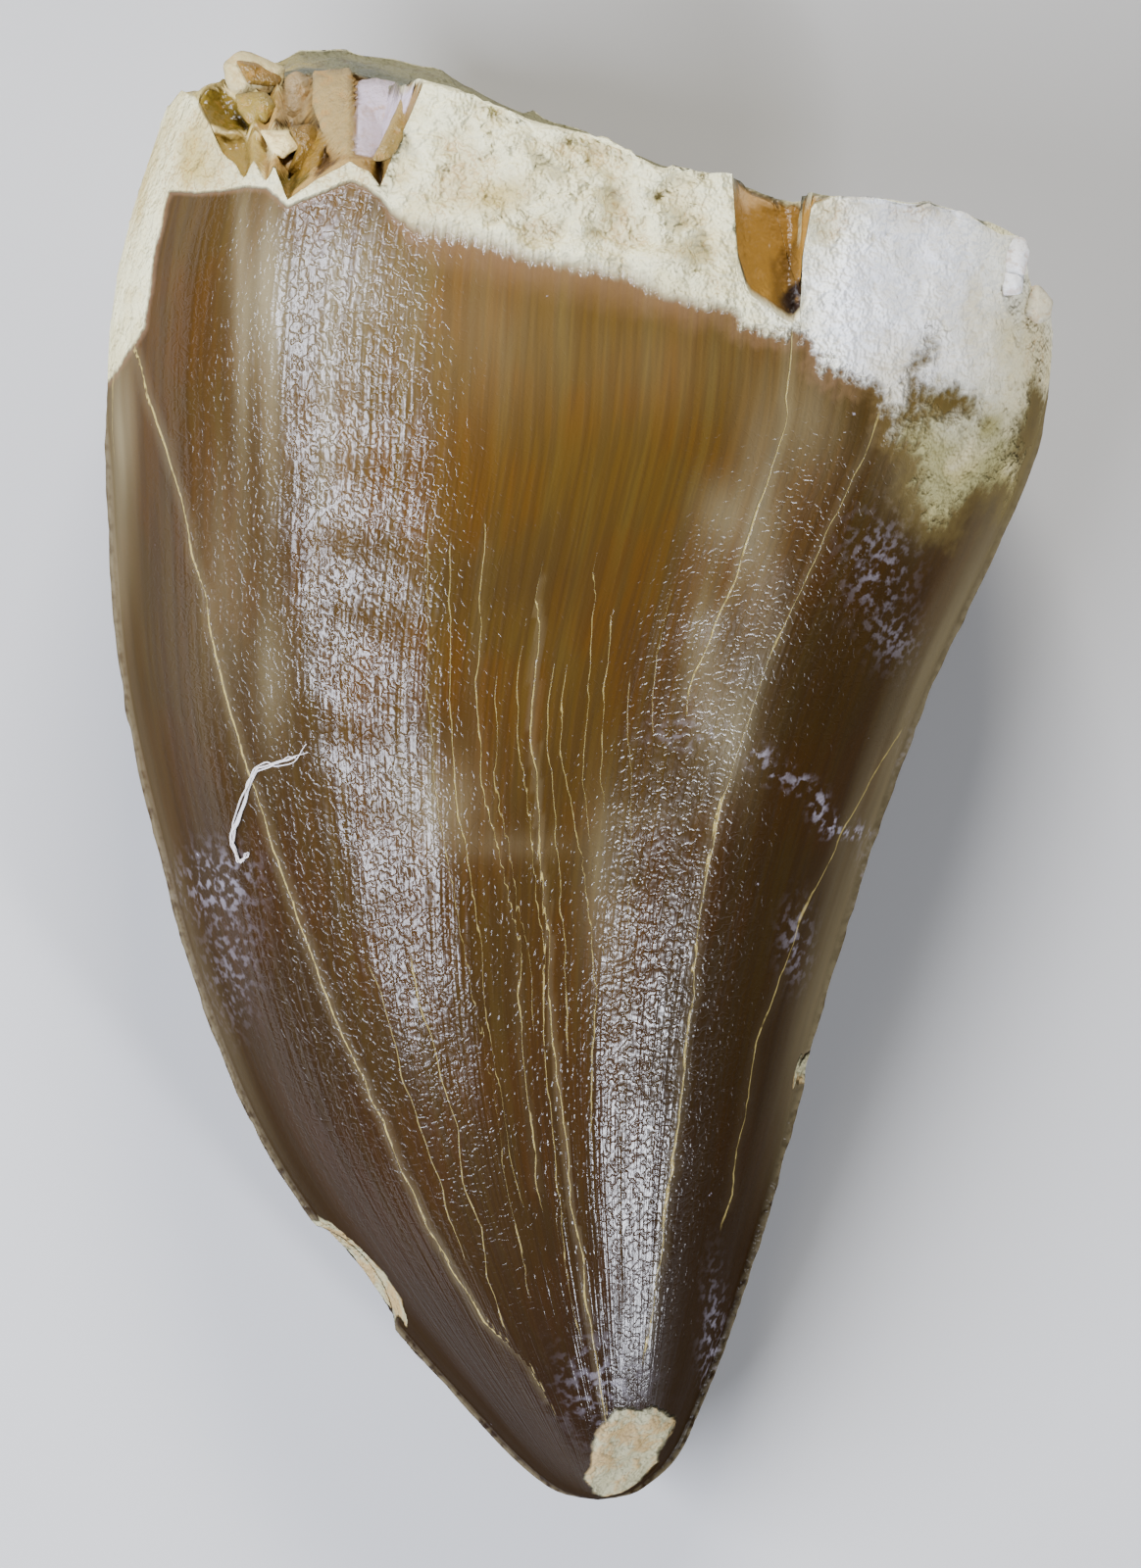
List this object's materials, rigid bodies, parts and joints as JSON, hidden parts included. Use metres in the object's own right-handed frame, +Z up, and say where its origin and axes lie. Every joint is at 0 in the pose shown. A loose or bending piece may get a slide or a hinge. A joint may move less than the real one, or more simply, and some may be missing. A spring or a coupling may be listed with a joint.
{
  "type": "fossil mosasaur tooth",
  "caption": "Fossil marine reptile tooth lying on its back: a keeled, faceted brown conical crown with a worn tip and a broken, chipped and notched cream root stump.",
  "frame": {"origin": "centre of the bounding box, at the height of the surface that the tooth lies on", "axes": "+Y from the worn tip to the broken root, +X across the crown from its left keel to its right, +Z up out of the front face"},
  "size_m": [0.0351, 0.0544, 0.023],
  "materials": {
    "fossil_enamel": "glossy, pebbled brown fossil enamel with fine lengthwise cracks, running into dull cream root",
    "lint": null
  },
  "bodies": {
    "root": {"tooth": "fossil_enamel"}
  },
  "joints": []
}
